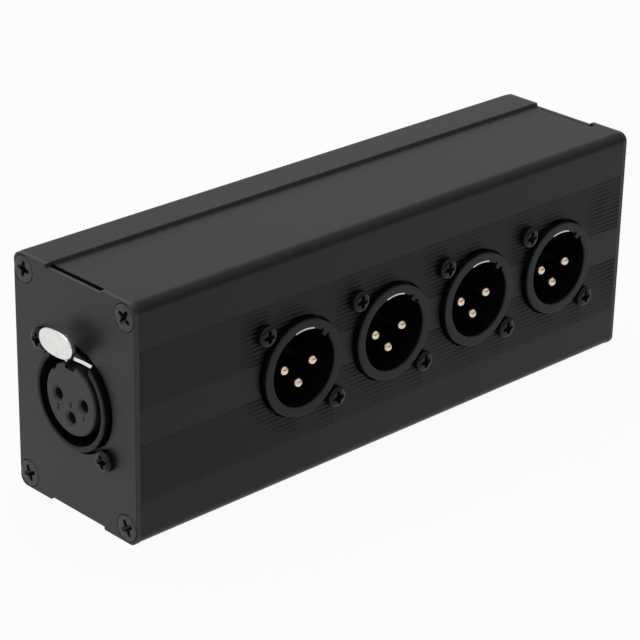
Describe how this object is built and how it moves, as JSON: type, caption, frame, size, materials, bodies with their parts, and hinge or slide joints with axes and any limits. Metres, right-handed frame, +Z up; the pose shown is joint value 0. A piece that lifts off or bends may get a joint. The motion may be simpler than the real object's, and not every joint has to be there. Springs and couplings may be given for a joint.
{
  "type": "stage connector splitter box",
  "caption": "Black extruded box that splits a latching three-pin input at one end to a row of parallel male outputs along its grooved front.",
  "frame": {"origin": "middle of the base of the outer bounding box, on the surface that the box stands on", "axes": "+X along the box from the latching input end to the blank end, -Y out of the front with the outputs, +Z up"},
  "size_m": [0.1452, 0.0378, 0.0509],
  "materials": {
    "shell": "black anodised extrusion, satin",
    "end_plate": "black anodised sheet, satin",
    "black_screw": "black oxide",
    "connector_housing": "black coated die casting",
    "connector_insert": "moulded, matt",
    "contact": "gold plated",
    "latch": "polished nickel plating",
    "spring_steel": "bright wire",
    "board": "green glass laminate",
    "lead": "insulated wire"
  },
  "bodies": {
    "case": {"front_shell": "shell", "rear_shell": "shell", "input_end_plate": "end_plate", "blank_end_plate": "end_plate", "input_end_screw_1": "black_screw", "input_end_screw_2": "black_screw", "input_end_screw_3": "black_screw", "input_end_screw_4": "black_screw", "blank_end_screw_1": "black_screw", "blank_end_screw_2": "black_screw", "blank_end_screw_3": "black_screw", "blank_end_screw_4": "black_screw", "input_housing": "connector_housing", "input_insert": "connector_insert", "input_contact_1": "contact", "input_contact_2": "contact", "input_contact_3": "contact", "input_fixing_1": "black_screw", "input_fixing_2": "black_screw", "latch_pin": "spring_steel", "latch_spring": "spring_steel", "output_1_housing": "connector_housing", "output_1_insert": "connector_insert", "output_1_pin_1": "contact", "output_1_pin_2": "contact", "output_1_pin_3": "contact", "output_1_fixing_1": "black_screw", "output_1_fixing_2": "black_screw", "output_2_housing": "connector_housing", "output_2_insert": "connector_insert", "output_2_pin_1": "contact", "output_2_pin_2": "contact", "output_2_pin_3": "contact", "output_2_fixing_1": "black_screw", "output_2_fixing_2": "black_screw", "output_3_housing": "connector_housing", "output_3_insert": "connector_insert", "output_3_pin_1": "contact", "output_3_pin_2": "contact", "output_3_pin_3": "contact", "output_3_fixing_1": "black_screw", "output_3_fixing_2": "black_screw", "output_4_housing": "connector_housing", "output_4_insert": "connector_insert", "output_4_pin_1": "contact", "output_4_pin_2": "contact", "output_4_pin_3": "contact", "output_4_fixing_1": "black_screw", "output_4_fixing_2": "black_screw", "bus_board": "board", "input_lead_1": "lead", "input_lead_2": "lead", "input_lead_3": "lead"},
    "latch": {"latch_lever": "latch"}
  },
  "joints": [
    {"name": "latch_hinge", "type": "hinge", "parent": "case", "child": "latch", "pos_m": [-0.0613, 0.0008, 0.0363], "axis": [0, 1, 0], "range_deg": [0, 5], "stiffness_Nm_per_rad": 0.05, "springref_deg": -20.05, "deforming": ["latch_spring"]}
  ]
}
